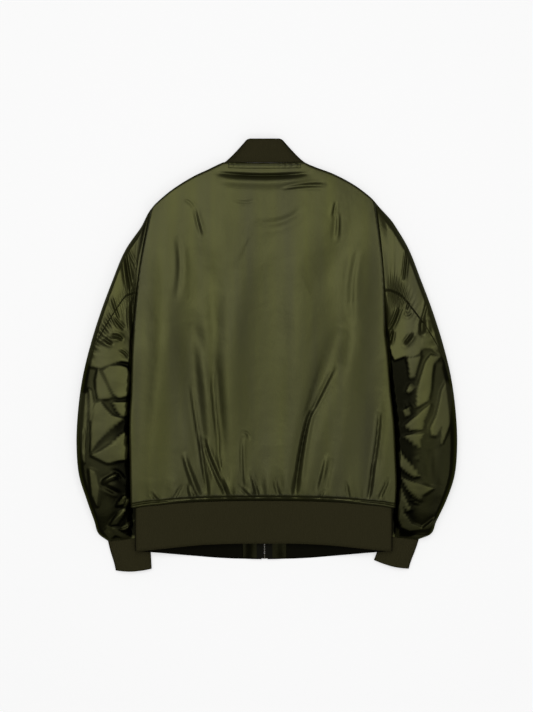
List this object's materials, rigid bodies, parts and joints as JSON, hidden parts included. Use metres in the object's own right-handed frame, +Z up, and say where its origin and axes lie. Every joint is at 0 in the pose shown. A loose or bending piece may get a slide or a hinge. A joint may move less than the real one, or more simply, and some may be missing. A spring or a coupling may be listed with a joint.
{
  "type": "bomber jacket",
  "caption": "Bomber jacket lying flat on its front, back up, sleeves at its sides, with ribbed collar, cuffs and hem and a closed front zip.",
  "frame": {"origin": "under the middle of the outline, on the surface that the jacket lies on", "axes": "+Z up from the surface, out of the back; +Y from hem to collar; +X to the right of someone who looks down on the back, the wearer's right"},
  "size_m": [0.6559, 0.7488, 0.0435],
  "materials": {
    "nylon": "satin nylon, olive",
    "rib_knit": "matte rib knit, dark olive",
    "zip_tape": "matte woven tape, dark olive",
    "zip_metal": "satin nickel"
  },
  "bodies": {
    "jacket": {"back": "nylon", "front_left": "nylon", "front_right": "nylon", "sleeve_upper_left": "nylon", "sleeve_upper_right": "nylon", "sleeve_under_left": "nylon", "sleeve_under_right": "nylon", "neck_binding": "nylon", "hem_tab_left": "nylon", "hem_tab_right": "nylon", "collar_rib": "rib_knit", "hem_rib": "rib_knit", "cuff_rib_left": "rib_knit", "cuff_rib_right": "rib_knit", "zip_tape_left": "zip_tape", "zip_tape_right": "zip_tape", "zip_slider": "zip_metal", "zip_box": "zip_metal"},
    "pull_tab": {"zip_pull": "zip_metal"}
  },
  "joints": [
    {"name": "pull_tab_hinge", "type": "hinge", "parent": "jacket", "child": "pull_tab", "pos_m": [0, 0.237, 0.0037], "axis": [1, 0, 0], "range_deg": [0, 140]}
  ]
}
